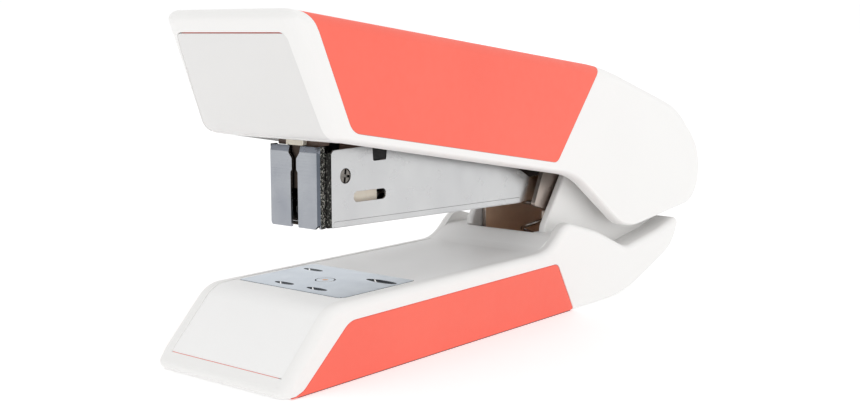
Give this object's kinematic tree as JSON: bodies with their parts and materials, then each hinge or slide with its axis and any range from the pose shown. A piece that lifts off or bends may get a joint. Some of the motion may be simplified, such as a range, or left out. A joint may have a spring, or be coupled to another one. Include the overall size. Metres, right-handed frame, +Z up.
{
  "type": "stapler",
  "caption": "Half-strip desk stapler with a white and coral handle over a chromed magazine, on a white base with a steel anvil plate.",
  "frame": {"origin": "centre of the stapler's outer box, on the table", "axes": "-X is the nose end where staples come out, +X the hinge end, +Z up"},
  "size_m": [0.1704, 0.0384, 0.0746],
  "materials": {
    "white_shell": "satin moulded plastic with a fine texture",
    "white_panel": "satin moulded plastic",
    "coral_grip": "soft-touch matte",
    "cream_nylon": "unpainted nylon",
    "black_rubber": "matte",
    "sole_rubber": "matte non-slip",
    "chromed_steel": "bright plated sheet, lightly brushed",
    "zinc_steel": "blue-grey zinc plate",
    "dark_steel": "dark lacquered sheet",
    "spring_steel": "drawn wire"
  },
  "bodies": {
    "base": {"base_shell": "white_shell", "base_deck": "white_panel", "base_inlay_left": "coral_grip", "base_inlay_right": "coral_grip", "base_sole": "sole_rubber", "base_bracket": "dark_steel", "bracket_screw_front": "chromed_steel", "bracket_screw_rear": "chromed_steel", "hinge_pin": "chromed_steel", "hinge_clip": "spring_steel", "hinge_washer_left": "cream_nylon", "hinge_washer_right": "cream_nylon", "lift_spring": "spring_steel"},
    "anvil": {"anvil_plate": "zinc_steel", "anvil_stem": "chromed_steel"},
    "magazine": {"magazine_body": "chromed_steel", "staple_rail": "chromed_steel", "pusher_rod": "chromed_steel", "pusher_spring": "spring_steel"},
    "pusher": {"pusher": "cream_nylon"},
    "frame": {"driver_frame": "chromed_steel", "nose_spacer": "chromed_steel", "stop_bumper": "black_rubber", "handle_pin": "chromed_steel", "return_spring": "spring_steel"},
    "arm": {"drive_arm": "chromed_steel"},
    "blade": {"driver_blade": "chromed_steel", "blade_holder": "cream_nylon"},
    "handle": {"handle_shell": "white_shell", "handle_grip": "coral_grip", "nose_panel": "white_panel", "handle_yoke": "dark_steel", "press_roller": "chromed_steel", "yoke_screw_front": "chromed_steel", "yoke_screw_rear": "chromed_steel"}
  },
  "joints": [
    {"name": "magazine_tilt", "type": "hinge", "parent": "base", "child": "magazine", "pos_m": [0.05565, 0, 0.043], "axis": [0, -1, 0], "range_deg": [0, 5.6], "stiffness_Nm_per_rad": 0.6, "springref_deg": -22.92, "deforming": ["lift_spring"]},
    {"name": "frame_open", "type": "hinge", "parent": "magazine", "child": "frame", "pos_m": [0.05565, 0, 0.043], "axis": [0, 1, 0], "range_deg": [0, 9]},
    {"name": "handle_press", "type": "hinge", "parent": "frame", "child": "handle", "pos_m": [0.03565, 0, 0.043], "axis": [0, -1, 0], "range_deg": [0, 7.5], "stiffness_Nm_per_rad": 0.5, "springref_deg": -20.05, "deforming": ["return_spring"]},
    {"name": "arm_swing", "type": "hinge", "parent": "frame", "child": "arm", "pos_m": [0.05565, 0, 0.043], "axis": [0, -1, 0], "range_deg": [0, 4]},
    {"name": "blade_slide", "type": "slide", "parent": "frame", "child": "blade", "axis": [0, 0, -1], "range_m": [0, 0.0083]},
    {"name": "pusher_slide", "type": "slide", "parent": "magazine", "child": "pusher", "axis": [0.9996, 0, -0.0277], "range_m": [0, 0.052], "stiffness_N_per_m": 30, "springref_m": -0.06, "deforming": ["pusher_spring"]},
    {"name": "anvil_lift", "type": "slide", "parent": "base", "child": "anvil", "axis": [0, 0, 1], "range_m": [0, 0.001], "stiffness_N_per_m": 500, "springref_m": -0.002}
  ],
  "couplings": [
    {"joint": "arm_swing", "follows": "handle_press", "ratio": 0.52},
    {"joint": "blade_slide", "follows": "handle_press", "m_per_rad": 0.06112}
  ]
}
